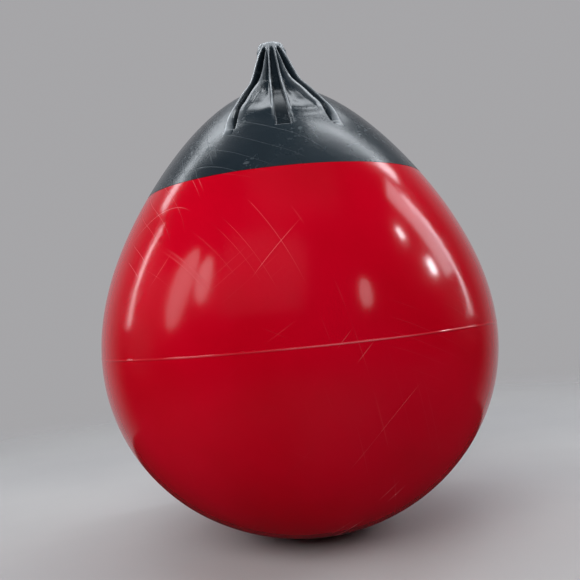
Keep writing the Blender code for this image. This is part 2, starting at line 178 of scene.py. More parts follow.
def rib_profile(drop, rise):
    """Rib features across a quarter of the hold, by level: angles from the Y axis, cuts below the crest,
    wear and painted light (1 on rubbed edges, partly real wear and partly a painted highlight, down to -1 for
    painted shade in the hollows) and the radius that the angles were taken at."""
    radius = np.maximum(crest_radius(drop), CREST[1, 1])
    fan = blend(FAN_TOP_ANGLE, FAN_BASE_ANGLE, ramp(drop, 0.010, 0.110))
    channel = blend(*CHANNEL_HALF_WIDTHS, ramp(drop, 0.012, 0.105))
    foot = radius * FOOT_TURN * ramp(drop, 0.085, 0.110)
    rail_out = fan * radius - 0.0002
    rail_top = rail_out - 0.0011
    rail_in = rail_top - 0.0012
    slot_outer = rail_in - 0.0008 - foot
    slot_width = blend(*SLOT_WIDTHS, ease(drop, 0.010, 0.040))
    slot_width = slot_width * blend(1.0, SLOT_TIP_SHARE, ramp(drop, 0.078, 0.111))
    slot_inner = slot_outer - slot_width
    shoulder = slot_inner - 0.0010
    channel_floor = channel - np.minimum(0.0010, channel * 0.35)
    lip_in = channel + 0.0006
    lip_out = lip_in + 0.0008
    ridge = shoulder - blend(0.0006, 0.0040, ramp(drop, 0.015, 0.090))
    inner_flank = lip_out + np.minimum(0.0020, 0.25 * (ridge - lip_out))
    outer_flank = ridge - np.minimum(0.0040, 0.40 * (ridge - lip_out))
    low = ease(drop, *ROOT_SPAN)
    settle = rise * ease(drop, 0.080, 0.104)
    channel_end = 1.0 - ease(drop, CHANNEL_END_DROP - 0.0006, CHANNEL_END_DROP + 0.0002)
    pocket_end = 1.0 - ease(drop, POCKET_END_DROP - 0.0150, POCKET_END_DROP + 0.0030)
    slot_end = 1.0 - ease(drop, SLOT_END_DROP - 0.0008, SLOT_END_DROP + 0.0002)
    channel_cut = blend(CHANNEL_DEPTH * ease(drop, 0.010, 0.022), rise + CHANNEL_SINK, low)
    pocket_cut = blend(POCKET_DEPTH * ease(drop, 0.010, 0.036), rise + POCKET_SINK, low)
    slot_cut = blend(SLOT_DEPTH * ease(drop, 0.008, 0.018), rise + SLOT_SINK, low)
    channel_cut = settle + (channel_cut - settle) * channel_end
    pocket_cut = settle + (pocket_cut - settle) * pocket_end
    slot_cut = settle + (slot_cut - settle) * slot_end
    lip_cut = settle * 0.9
    rail_cut = rise * ease(drop, 0.100, 0.117)
    round_off = np.minimum(0.0014, 0.5 * rise) * (1.0 - ease(drop, 0.104, 0.116))
    none = np.zeros_like(drop)
    # Paler rubbed edges on the lips, ridges and rails: real wear with a painted highlight added, strongest on
    # the rails
    worn_and_painted_light = 1.0 - ease(drop, 0.086, 0.106)
    rail_wear_and_highlight = 1.0 - ease(drop, 0.106, 0.116)
    # Painted shade in the slots and the channel: these masks darken their floors and walls, fading out where
    # each one ends
    slot_painted_shade = 1.0 - ease(drop, SLOT_END_DROP - 0.0010, SLOT_END_DROP)
    channel_painted_shade = 1.0 - ease(drop, CHANNEL_END_DROP - 0.0010, CHANNEL_END_DROP)
    wall_shade = 0.5 * slot_painted_shade * (1.0 - ramp(drop, 0.080, 0.104))
    wall = SLOT_WALL_SHARE * slot_width
    # Third column: wear and painted light, positive on rubbed edges (partly a painted highlight), negative for
    # painted shade in the slots and the channel
    features = (
        (none, channel_cut, -0.8 * channel_painted_shade),
        (channel_floor, channel_cut, -0.8 * channel_painted_shade),
        (channel, 0.5 * (channel_cut + lip_cut), 0.1 * worn_and_painted_light),
        (lip_in, lip_cut, 0.45 * worn_and_painted_light),
        (lip_out, lip_cut, 0.45 * worn_and_painted_light),
        (inner_flank, 0.75 * pocket_cut + 0.25 * lip_cut, none),
        (blend(inner_flank, outer_flank, 0.45), pocket_cut, none),
        (outer_flank, 0.60 * pocket_cut + 0.40 * settle, none),
        (ridge, settle, 0.1 * worn_and_painted_light),
        (shoulder, settle, 0.35 * worn_and_painted_light),
        (slot_inner, 0.25 * slot_cut + 0.75 * settle, 0.1 * worn_and_painted_light),
        (slot_inner + wall, slot_cut, -slot_painted_shade),
        (slot_outer - wall, slot_cut, -slot_painted_shade),
        (slot_outer, 0.35 * slot_cut + 0.65 * rail_cut, -wall_shade),
        (rail_in, rail_cut, 0.6 * rail_wear_and_highlight),
        (rail_top, rail_cut + 0.25 * round_off, rail_wear_and_highlight),
        (rail_out, rail_cut + round_off, rail_wear_and_highlight))
    arcs, cuts, wear_and_painted_light = (np.stack(column, axis=1) for column in zip(*features))
    return arcs / radius[:, None], cuts, wear_and_painted_light, radius


PIECES_PER_FEATURE = (5, 3, 3, 2, 4, 6, 6, 6, 4, 3, 4, 4, 4, 4, 3, 3)
RAIL_PIECES = 2                    # the last features follow a bead, so they aren't eased
FLANK_PIECES = 7
SIDE_PIECES = 30
# The cap top is made paler: real wear with a painted highlight
CAP_WEAR_AND_HIGHLIGHT = 0.6


def quarter_columns(drop):
    """Angles, radii and wear with painted light of a quarter of the shoulder's outer surface, levels by
    columns: pale rubbed edges that are partly a painted highlight, and painted shade in the slots and the
    channel.
    """
    plain = float_radius(LENGTH - drop)[:, None]
    crest = crest_radius(drop)[:, None]
    rounding = blend(FILLET, BASE_FILLET, ease(drop, 0.078, 0.098)) * (1.0 - ease(drop, 0.106, 0.124))
    stand = larger(plain, crest, rounding[:, None])
    angles, cuts, feature_wear_and_light, reach = rib_profile(drop, (stand - plain)[:, 0])
    turn, radius, wear_and_painted_light = [], [], []
    for k, count in enumerate(PIECES_PER_FEATURE):
        t = np.arange(count) / count
        share = t if k >= len(PIECES_PER_FEATURE) - RAIL_PIECES else t * t * (3.0 - 2.0 * t)
        turn.append(blend(angles[:, k, None], angles[:, k + 1, None], t))
        radius.append(stand - blend(cuts[:, k, None], cuts[:, k + 1, None], share))
        wear_and_painted_light.append(blend(feature_wear_and_light[:, k, None], feature_wear_and_light[:, k + 1, None], t))
    edge = stand - cuts[:, -1:]
    flank_end = angles[:, -1:] + 0.0010 / reach[:, None]
    t = np.arange(FLANK_PIECES) / FLANK_PIECES
    flank = blend(angles[:, -1:], flank_end, t)
    side = blend(flank_end, math.pi / 2, np.arange(SIDE_PIECES + 1) / SIDE_PIECES)
    for part, share in ((flank, t * (2.0 - t)), (side, np.ones(SIDE_PIECES + 1))):
        cheek = np.minimum(crest, cheek_offset(drop)[:, None] / np.sin(part))
        turn.append(part)
        radius.append(blend(edge, larger(plain, cheek, FILLET), share))
        wear_and_painted_light.append(blend(feature_wear_and_light[:, -1:], 0.0, share))
    cap = 1.0 - ease(drop, CAP_DROP * 0.7, CAP_DROP * 1.8)[:, None]
    turn, radius, wear_and_painted_light = (np.concatenate(parts, axis=1) for parts in (turn, radius, wear_and_painted_light))
    return turn, radius, blend(wear_and_painted_light, CAP_WEAR_AND_HIGHLIGHT, cap)


def mirrored_columns(turn, *values):
    """The whole turn from a quarter, mirrored about both centre planes: angles, then their values."""
    turns = [turn[:, :-1], math.pi - turn[:, :0:-1], math.pi + turn[:, :-1], 2.0 * math.pi - turn[:, :0:-1]]
    wholes = [[value[:, :-1], value[:, :0:-1]] * 2 for value in values]
    return [np.concatenate(parts, axis=1) for parts in [turns] + wholes]


def skin(name, points, top=None, bottom=None):
    """Closed mesh over a stack of rings (levels by columns by 3), with a pole at each end or joined round."""
    levels, columns = points.shape[:2]
    index = np.arange(levels * columns).reshape(levels, columns)
    upper = index if top is None else index[:-1]
    lower = np.roll(index, -1, axis=0) if top is None else index[1:]
    faces = np.stack((upper, lower, np.roll(lower, -1, 1), np.roll(upper, -1, 1)), axis=-1).reshape(-1, 4)
    verts = points.reshape(-1, 3).tolist()
    faces = faces.tolist()
    if top is not None:
        verts += [top, bottom]
        for ring, pole in ((index[0], levels * columns), (index[-1][::-1], levels * columns + 1)):
            faces += [[pole, ring[j], ring[(j + 1) % columns]] for j in range(columns)]
    mesh = bpy.data.meshes.new(name)
    mesh.from_pydata(verts, [], faces)
    mesh.validate()
    mesh.shade_smooth()
    piece = bpy.data.objects.new(name, mesh)
    bpy.context.collection.objects.link(piece)
    return piece


def turned_points(outline, columns):
    """Rings of points from an outline of (radius, height)."""
    outline = np.asarray(outline)
    turn = 2.0 * math.pi * np.arange(columns) / columns
    x = outline[:, 0, None] * np.sin(turn)
    y = -outline[:, 0, None] * np.cos(turn)
    z = np.repeat(outline[:, 1, None], columns, axis=1)
    return np.stack((x, y, z), axis=-1)


def ripple(points, centre_z, size):
    """Slight unevenness of moulded vinyl, in and out from the float's centre."""
    centre = np.array((0.0, 0.0, centre_z))
    flat = points.reshape(-1, 3)
    outward = flat - centre
    outward /= np.linalg.norm(outward, axis=1)[:, None]
    wave = np.array([noise.noise(Vector(p * 9.0)) + 0.35 * noise.noise(Vector(p * 26.0)) for p in flat])
    return (flat + outward * (wave * size)[:, None]).reshape(points.shape)


# Rope hold and shoulder

def hold_levels():
    """Drops of the outer rings, from the cap down to the colour split, closest where features end."""
    cap = CAP_DROP * (1.0 - np.cos(np.radians(np.linspace(9.0, 90.0, 10))))
    spans = [(CAP_DROP, 0.0480, 38), (0.0490, 0.0520, 8), (0.0520, 0.0600, 12), (0.0600, 0.0920, 24),
             (0.0920, 0.0950, 6), (0.0950, 0.1060, 8), (0.1060, 0.1083, 4), (0.1083, 0.1096, 9),
             (0.1096, 0.1105, 2), (0.1105, 0.1116, 9), (0.1116, 0.1500, 15)]
    parts = [cap] + [np.linspace(start, end, count, endpoint=False) for start, end, count in spans]
    return np.concatenate(parts + [np.array([0.1500])])


def make_rope_hold():
    drops = hold_levels()
    turn, radius, wear_and_painted_light = mirrored_columns(*quarter_columns(drops))
    outer = np.stack((radius * np.sin(turn), -radius * np.cos(turn),
                      np.repeat(LENGTH - drops[:, None], turn.shape[1], axis=1)), axis=-1)
    columns = turn.shape[1]
    top_edge = COLOUR_SPLIT_Z + GAP / 2
    tongue_end = COLOUR_SPLIT_Z - LAP_LENGTH + GAP / 2
    outline = [(float_radius(top_edge), top_edge), float_point(top_edge, LAP_DEPTH + GAP / 2),
               float_point(tongue_end, LAP_DEPTH + GAP / 2), float_point(tongue_end, WALL),
               float_point(0.3700, WALL)]
    outline += [float_point(z, ROOT_WALL) for z in np.linspace(0.390, 0.446, 8)]
    inner = turned_points(outline, columns)
    # the plain rings keep the last outer ring's angles, so the columns don't twist
    reach = np.hypot(inner[..., 0], inner[..., 1])
    inner[..., 0] = reach * np.sin(turn[-1])
    inner[..., 1] = -reach * np.cos(turn[-1])
    ceiling = outline[-1][1]
    points = np.concatenate((ripple(outer, 0.40, 0.00025), inner))
    hold = skin("rope_hold_skin", points, top=(0.0, 0.0, LENGTH), bottom=(0.0, 0.0, float(ceiling)))
    # The wear attribute also carries painted light: a painted highlight on rubbed edges and the cap, and
    # painted shade in the slots and the channel
    worn_and_painted_light = np.concatenate((wear_and_painted_light.ravel(), np.zeros(inner.shape[0] * columns), (1.0, 0.0))).astype(np.float32)
    hold.data.attributes.new("wear_and_painted_light", "FLOAT", "POINT").data.foreach_set("value", worn_and_painted_light)
    boss = turned("boss_body", boss_outline(), 96, valve_frame())
    bore_radius = BARREL_RADIUS + GAP
    bore = turned("bore_cutter", [(0.0, 0.02), (bore_radius, 0.02), (bore_radius, -0.02), (0.0, -0.02)],
                  96, valve_frame())
    cheek = float(cheek_offset(np.array([EYE_DROP]))[0])
    arc = np.radians(np.linspace(0.0, 90.0, 9))
    flare = [(EYE_RADIUS + EYE_FLARE * (1.0 - math.sin(a)), cheek - EYE_FLARE * (1.0 - math.cos(a)))
             for a in arc]
    half = [(0.0, 0.040), (EYE_RADIUS + EYE_FLARE, 0.040)] + flare
    across = Matrix.Translation((0.0, 0.0, LENGTH - EYE_DROP)) @ Matrix.Rotation(math.pi / 2, 4, "Y")
    eye = turned("eye_cutter", half + [(r, -x) for r, x in reversed(half)], 96, across)
    combine(hold, boss, "UNION")
    combine(hold, bore, "DIFFERENCE")
    combine(hold, eye, "DIFFERENCE")
    hold.data.set_sharp_from_angle(angle=math.radians(42.0))
    return hold


def boss_outline():
    """Valve boss: flat face, rounded rim and a foot that runs out into the shoulder."""
    rim = [(BOSS_RADIUS - 0.0010 + 0.0010 * math.sin(a), BOSS_TOP - 0.0010 + 0.0010 * math.cos(a))
           for a in np.radians(np.linspace(0.0, 90.0, 6))]
    foot = [(BOSS_RADIUS + 0.0022 * (1.0 - math.cos(a)), -0.0030 * math.sin(a) + 0.0004)
            for a in np.radians(np.linspace(0.0, 80.0, 7))]
    return [(0.0, BOSS_TOP)] + rim + foot + [(BOSS_RADIUS + 0.0010, -0.0060), (0.0, -0.0060)]


def valve_frame():
    """Frame on the shoulder whose Z axis is the valve's axis and points outwards."""
    axis = Vector(JOINTS["plug_turn"]["axis"]).normalized()
    across = Vector((1.0, 0.0, 0.0))
    turn = Matrix((across, axis.cross(across), axis)).transposed().to_4x4()
    return Matrix.Translation(Vector(JOINTS["plug_turn"]["pos_m"])) @ turn


def turned(name, outline, columns, matrix=None, closed=False):
    """Solid of revolution about Z from an outline of (radius, height); a closed outline makes a ring."""
    outline = [(float(r), float(h)) for r, h in outline]
    if closed:
        piece = skin(name, turned_points(outline, columns))
    else:
        rings = turned_points(outline[1:-1], columns)
        piece = skin(name, rings, top=(0.0, 0.0, outline[0][1]), bottom=(0.0, 0.0, outline[-1][1]))
    if matrix is not None:
        piece.data.transform(matrix)
    return piece


def face_outwards(mesh):
    """Turns every face outwards, because a boolean with an inside-out body does nothing."""
    body = bmesh.new()
    body.from_mesh(mesh)
    bmesh.ops.recalc_face_normals(body, faces=body.faces)
    body.to_mesh(mesh)
    body.free()


def combine(piece, other, operation):
    """Applies a boolean to a piece's mesh and removes the other body."""
    face_outwards(piece.data)
    face_outwards(other.data)
    modifier = piece.modifiers.new("combine", "BOOLEAN")
    modifier.operation = operation
    modifier.solver = "EXACT"
    modifier.object = other
    bpy.context.view_layer.update()
    mesh = bpy.data.meshes.new_from_object(piece.evaluated_get(bpy.context.evaluated_depsgraph_get()))
    body = bmesh.new()
    body.from_mesh(mesh)
    bmesh.ops.remove_doubles(body, verts=body.verts, dist=SLIVER)
    bmesh.ops.dissolve_degenerate(body, edges=body.edges, dist=SLIVER)
    body.to_mesh(mesh)
    body.free()
    old = piece.data
    piece.modifiers.clear()
    piece.data = mesh
    mesh.name = old.name
    bpy.data.meshes.remove(old)
    bpy.data.objects.remove(other)


# Float

def make_float():
    rim = COLOUR_SPLIT_Z - GAP / 2
    recess = COLOUR_SPLIT_Z - LAP_LENGTH - GAP / 2
    heights = np.concatenate((np.linspace(rim, SEAM_Z + 0.004, 60), SEAM_Z + np.linspace(0.0032, -0.0032, 33),
                              np.linspace(SEAM_Z - 0.004, 0.0, 90)))
    outline = [float_point(rim, LAP_DEPTH - GAP / 2)]
    for z in heights:
        bead = SEAM_HEIGHT * math.exp(-((z - SEAM_Z) / SEAM_HALF_WIDTH) ** 2)
        outline.append(float_point(z, -bead))
    outline += [(FOOT_RADIUS * 0.97, 0.0), (0.002, 0.0), (0.002, WALL), (FOOT_RADIUS, WALL)]
    outline += [float_point(z, WALL) for z in np.linspace(0.010, 0.300, 24)]
    outline += [float_point(recess, WALL), float_point(recess, LAP_DEPTH - GAP / 2)]
    points = turned_points(outline, COLUMNS)
    shown = slice(1, 1 + len(heights))
    points[shown] = ripple(points[shown], WIDEST_Z, 0.00030)
    # start at the inner side of the base, so that both ends close on the axis
    points = np.roll(points, -(len(heights) + 3), axis=0)
    shell = skin("float_skin", points, top=(0.0, 0.0, WALL), bottom=(0.0, 0.0, 0.0))
    face_outwards(shell.data)
    shell.data.set_sharp_from_angle(angle=math.radians(40.0))
    return shell


# Air valve, in the valve's own frame: heights are along its axis from the plain shoulder

BARREL_RADIUS = 0.0090
BARREL_BOTTOM = -0.0140
GASKET_THICKNESS = 0.0015
GASKET_RADIUS = 0.0130
FLANGE_THICKNESS = 0.0027
FLANGE_RADIUS = 0.0135
SEAL_SECTION = 0.0018
SEAL_RADIUS = 0.0064
SEAL_RECESS_RADIUS = 0.0076
THREAD_RADIUS = 0.0050
THREAD_DEPTH = 0.0008
THREAD_PITCH = 0.0020
THREAD_LENGTH = 0.0095
THREAD_BORE = 0.0053
HEAD_RADIUS = 0.0085
HEAD_THICKNESS = 0.0035
SCREW_SLOT_WIDTH = 0.0018
SCREW_SLOT_DEPTH = 0.0020
PORT_RADIUS = 0.0025
SEAT_TOP = -0.0035
SEAT_BOTTOM = -0.0060
CHAMBER_RADIUS = 0.0065
DISC_RADIUS = 0.0055
DISC_THICKNESS = 0.0016
DISC_TRAVEL = JOINTS["disc_lift"]["range_m"][1]
CAGE_THICKNESS = 0.0035
CAGE_HOLE_RADIUS = 0.0012
CAGE_HOLE_CIRCLE = 0.0036
GASKET_BOTTOM = BOSS_TOP + GAP
FLANGE_BOTTOM = GASKET_BOTTOM + GASKET_THICKNESS + GAP
FLANGE_TOP = FLANGE_BOTTOM + FLANGE_THICKNESS
HEAD_BOTTOM = FLANGE_TOP + GAP
SEAL_HEIGHT = HEAD_BOTTOM - GAP - SEAL_SECTION / 2
SEAL_FLOOR = SEAL_HEIGHT - SEAL_SECTION / 2 - GAP
DISC_TOP = SEAT_BOTTOM - GAP
CAGE_TOP = DISC_TOP - DISC_THICKNESS - DISC_TRAVEL - GAP


def rounded(outline, size, pieces=4):
    """A closed outline with each corner rounded by an arc-like curve of the given size."""
    corners = [Vector(p) for p in outline]
    made = []
    for i, corner in enumerate(corners):
        before, after = corners[i - 1] - corner, corners[(i + 1) % len(corners)] - corner
        reach = min(size, before.length * 0.45, after.length * 0.45)
        start, end = corner + before.normalized() * reach, corner + after.normalized() * reach
        for k in range(pieces + 1):
            t = k / pieces
            made.append(tuple(start * (1 - t) ** 2 + corner * 2 * t * (1 - t) + end * t ** 2))
    return made


def make_valve_body():
    outline = [(SEAL_RECESS_RADIUS, FLANGE_TOP), (FLANGE_RADIUS, FLANGE_TOP), (FLANGE_RADIUS, FLANGE_BOTTOM),
               (BARREL_RADIUS, FLANGE_BOTTOM), (BARREL_RADIUS, BARREL_BOTTOM),
               (CHAMBER_RADIUS, BARREL_BOTTOM), (CHAMBER_RADIUS, SEAT_BOTTOM),
               (PORT_RADIUS, SEAT_BOTTOM), (PORT_RADIUS, SEAT_TOP),
               (THREAD_BORE, SEAT_TOP), (THREAD_BORE, SEAL_FLOOR), (SEAL_RECESS_RADIUS, SEAL_FLOOR)]
    return turned("valve_body_fine", rounded(outline, 0.0006), 96, valve_frame(), closed=True)


def make_valve_gasket():
    top = GASKET_BOTTOM + GASKET_THICKNESS
    inner = BARREL_RADIUS + GAP
    outline = [(inner, top), (GASKET_RADIUS, top), (GASKET_RADIUS, GASKET_BOTTOM), (inner, GASKET_BOTTOM)]
    return turned("valve_gasket_fine", rounded(outline, 0.0005), 96, valve_frame(), closed=True)


def make_screw_o_ring():
    half = SEAL_SECTION / 2
    outline = [(SEAL_RADIUS + half * math.sin(a), SEAL_HEIGHT + half * math.cos(a))
               for a in np.linspace(0.0, 2.0 * math.pi, 20, endpoint=False)]
    return turned("screw_o_ring_fine", outline, 96, valve_frame(), closed=True)


def make_check_disc():
    bottom = DISC_TOP - DISC_THICKNESS
    outline = rounded([(0.0003, DISC_TOP), (DISC_RADIUS, DISC_TOP), (DISC_RADIUS, bottom), (0.0003, bottom)],
                      0.0004)
    return turned("check_disc_fine", [(0.0, DISC_TOP)] + outline[5:-5] + [(0.0, bottom)], 72, valve_frame())


def make_check_cage():
    radius = CHAMBER_RADIUS - GAP
    bottom = CAGE_TOP - CAGE_THICKNESS
    outline = rounded([(0.0003, CAGE_TOP), (radius, CAGE_TOP), (radius, bottom), (0.0003, bottom)], 0.0004)
    cage = turned("check_cage_fine", [(0.0, CAGE_TOP)] + outline[5:-5] + [(0.0, bottom)], 72, valve_frame())
    for k in range(4):
        place = Matrix.Rotation(math.pi / 2 * k, 4, "Z") @ Matrix.Translation((CAGE_HOLE_CIRCLE, 0.0, 0.0))
        pin = [(0.0, CAGE_TOP + 0.002), (CAGE_HOLE_RADIUS, CAGE_TOP + 0.002),
               (CAGE_HOLE_RADIUS, bottom - 0.002), (0.0, bottom - 0.002)]
        combine(cage, turned("air_hole", pin, 32, valve_frame() @ place), "DIFFERENCE")
    cage.data.set_sharp_from_angle(angle=math.radians(40.0))
    return cage


def thread_radius(turn, depth):
    """Radius of the right-hand thread at an angle (in turns) and a depth below the head."""
    phase = (depth / THREAD_PITCH + turn) % 1.0
    crest = ease(1.0 - np.abs(2.0 * phase - 1.0), 0.22, 0.78)
    fade = ramp(depth, 0.0, 0.0010) * ramp(THREAD_LENGTH - depth, 0.0, 0.0010)
    return THREAD_RADIUS - THREAD_DEPTH * (1.0 - crest * fade)


def make_valve_screw():
    """Plug with a domed, slotted head and a threaded shank."""
    sides = 72
    turn = np.arange(sides) / sides
    dome = np.radians(np.linspace(4.0, 90.0, 14))
    crown = 0.0012
    head = [(HEAD_RADIUS * math.sin(a) ** 0.75, HEAD_THICKNESS - crown * (1.0 - math.cos(a))) for a in dome]
    head += [(HEAD_RADIUS, 0.0004), (HEAD_RADIUS - 0.0003, 0.0)]
    rings = [(np.full(sides, r), h) for r, h in head]
    depths = np.linspace(0.0, THREAD_LENGTH, 96)
    rings += [(thread_radius(turn, d), -d) for d in depths]
    rings.append((np.full(sides, THREAD_RADIUS - THREAD_DEPTH - 0.0006), -THREAD_LENGTH))
    angle = 2.0 * math.pi * turn
    points = np.stack([
        np.stack((r * np.cos(angle), r * np.sin(angle), np.full(sides, HEAD_BOTTOM + h)), axis=-1)
        for r, h in rings])
    screw = skin("valve_screw_fine", points[:, ::-1], top=(0.0, 0.0, HEAD_BOTTOM + HEAD_THICKNESS),
                 bottom=(0.0, 0.0, HEAD_BOTTOM - THREAD_LENGTH))
    screw.data.transform(valve_frame())
    low = HEAD_BOTTOM + HEAD_THICKNESS - SCREW_SLOT_DEPTH
    section = rounded([(-SCREW_SLOT_WIDTH / 2, low), (SCREW_SLOT_WIDTH / 2, low),
                       (SCREW_SLOT_WIDTH / 2, low + 0.010), (-SCREW_SLOT_WIDTH / 2, low + 0.010)], 0.0003)
    ends = np.array([[(x, y, z) for y, z in section] for x in (-2.0 * HEAD_RADIUS, 2.0 * HEAD_RADIUS)])
    centre = low + 0.005
    slot = skin("slot_cutter", ends, top=(-2.0 * HEAD_RADIUS, 0.0, centre),
                bottom=(2.0 * HEAD_RADIUS, 0.0, centre))
    slot.data.transform(valve_frame())
    combine(screw, slot, "DIFFERENCE")
    screw.data.set_sharp_from_angle(angle=math.radians(38.0))
    return screw


# Materials

class Shader:
    """A node material being built. Numbers given for sockets are set directly, and sockets are linked."""

    def __init__(self, name):
        self.material = bpy.data.materials.new(name)
        self.material.use_nodes = True
        self.tree = self.material.node_tree
        self.tree.nodes.clear()
        self.surface = self.add("ShaderNodeBsdfPrincipled")
        output = self.add("ShaderNodeOutputMaterial")
        self.tree.links.new(self.surface.outputs["BSDF"], output.inputs["Surface"])
        self.place = self.add("ShaderNodeTexCoord").outputs["Object"]

    def add(self, kind, **settings):
        node = self.tree.nodes.new(kind)
        for name, value in settings.items():
            setattr(node, name, value)
        return node

    def feed(self, socket, value):
        if isinstance(value, bpy.types.NodeSocket):
            self.tree.links.new(value, socket)
        else:
            socket.default_value = value

    def set(self, **values):
        for name, value in values.items():
            self.feed(self.surface.inputs[name.replace("_", " ")], value)

    def math(self, operation, a, b=0.0, clamp=False):
        node = self.add("ShaderNodeMath", operation=operation, use_clamp=clamp)
        self.feed(node.inputs[0], a)
        self.feed(node.inputs[1], b)
        return node.outputs[0]

    def span(self, value, start, end, low=0.0, high=1.0, smooth=True):
        node = self.add("ShaderNodeMapRange", clamp=True)
        node.interpolation_type = "SMOOTHSTEP" if smooth else "LINEAR"
        for socket, v in zip(node.inputs, (value, start, end, low, high)):
            self.feed(socket, v)
        return node.outputs[0]

    def noise(self, scale, detail=3.0, place=None, roughness=0.5, distortion=0.0):
        node = self.add("ShaderNodeTexNoise")
        self.feed(node.inputs["Vector"], self.place if place is None else place)
        for name, value in (("Scale", scale), ("Detail", detail), ("Roughness", roughness),
                            ("Distortion", distortion)):
            self.feed(node.inputs[name], value)
        return node.outputs["Fac"]

    def mix(self, amount, a, b):
        node = self.add("ShaderNodeMix", data_type="RGBA")
        self.feed(node.inputs["Factor"], amount)
        self.feed(node.inputs["A"], a)
        self.feed(node.inputs["B"], b)
        return node.outputs["Result"]

    def bump(self, height, distance, strength=1.0, normal=None):
        node = self.add("ShaderNodeBump")
        self.feed(node.inputs["Strength"], strength)
        self.feed(node.inputs["Distance"], distance)
        self.feed(node.inputs["Height"], height)
        if normal is not None:
            self.feed(node.inputs["Normal"], normal)
        return node.outputs["Normal"]

    def scratches(self, directions, spacing, width, cover):
        """Fine lines where planes cut the surface, broken into separate strokes of uneven length."""
        total = None
        for k, direction in enumerate(directions):
            across = Vector(direction).normalized()
            bend = self.math("MULTIPLY", self.noise(3.0 + 0.7 * k, 1.0), 0.10)
            dot = self.add("ShaderNodeVectorMath", operation="DOT_PRODUCT")
            self.feed(dot.inputs[0], self.place)
            dot.inputs[1].default_value = across
            line = self.add("ShaderNodeTexNoise", noise_dimensions="1D")
            self.feed(line.inputs["W"], self.math("ADD", self.math("ADD", dot.outputs["Value"], bend), k * 1.7))
            line.inputs["Scale"].default_value = 1.0 / spacing
            line.inputs["Detail"].default_value = 0.0
            nearness = self.math("ABSOLUTE", self.math("SUBTRACT", line.outputs["Fac"], 0.5))
            stroke = self.span(nearness, 0.0, width, 1.0, 0.0)
            shift = self.add("ShaderNodeMapping")
            self.feed(shift.inputs["Vector"], self.place)
            shift.inputs["Location"].default_value = (k * 3.1, k * 1.3, k * 2.2)
            gate = self.span(self.noise(7.0, 2.0, shift.outputs["Vector"]), cover, cover + 0.06)
            stroke = self.math("MULTIPLY", stroke, gate)
            total = stroke if total is None else self.math("MAXIMUM", total, stroke)
        return total


def height_of(shader):
    split = shader.add("ShaderNodeSeparateXYZ")
    shader.feed(split.inputs[0], shader.place)
    return split.outputs["Z"]


def red_vinyl():
    s = Shader("red_vinyl_worn")
    cloud = s.noise(7.0, 4.0)
    base = s.mix(s.span(cloud, 0.35, 0.65), (0.50, 0.0, 0.009, 1.0), (0.57, 0.0, 0.013, 1.0))
    high = s.span(height_of(s), 0.16, 0.36, 0.35, 1.0)
    fine = s.scratches([(1.0, 0.3, 0.45), (-0.7, 0.4, 0.9), (1.0, -0.2, 0.15), (0.45, 0.2, 1.0)],
                       0.022, 0.009, 0.60)
    fine = s.math("MULTIPLY", fine, high)
    long = s.scratches([(0.75, 0.1, -0.7), (0.30, -0.3, 1.0), (1.0, 0.5, -0.2)], 0.060, 0.0028, 0.62)
    base = s.mix(s.math("MULTIPLY", fine, 0.18), base, (0.82, 0.16, 0.19, 1.0))
    base = s.mix(s.math("MULTIPLY", long, 0.36), base, (0.86, 0.26, 0.28, 1.0))
    away = s.math("ABSOLUTE", s.math("SUBTRACT", height_of(s), SEAM_Z))
    uneven = s.span(s.noise(7.0, 3.0), 0.42, 0.60, 0.12, 1.0)
    bead = s.math("MULTIPLY", s.span(away, 0.0002, 0.0009, 1.0, 0.0), uneven)
    base = s.mix(s.math("MULTIPLY", bead, 0.34), base, (0.85, 0.30, 0.33, 1.0))
    rough = s.span(s.noise(11.0, 5.0), 0.3, 0.7, 0.10, 0.17)
    rough = s.math("ADD", rough, s.math("MULTIPLY", s.math("ADD", fine, long), 0.20), clamp=True)
    orange_peel = s.bump(s.noise(95.0, 2.0), 0.00006, 0.6)
    marks = s.bump(s.math("SUBTRACT", 1.0, s.math("MAXIMUM", fine, long)), 0.00005, 0.7, orange_peel)
    s.set(Base_Color=base, Roughness=rough, Normal=marks, IOR=1.47, Coat_Weight=0.10, Coat_Roughness=0.05)
    return s.material


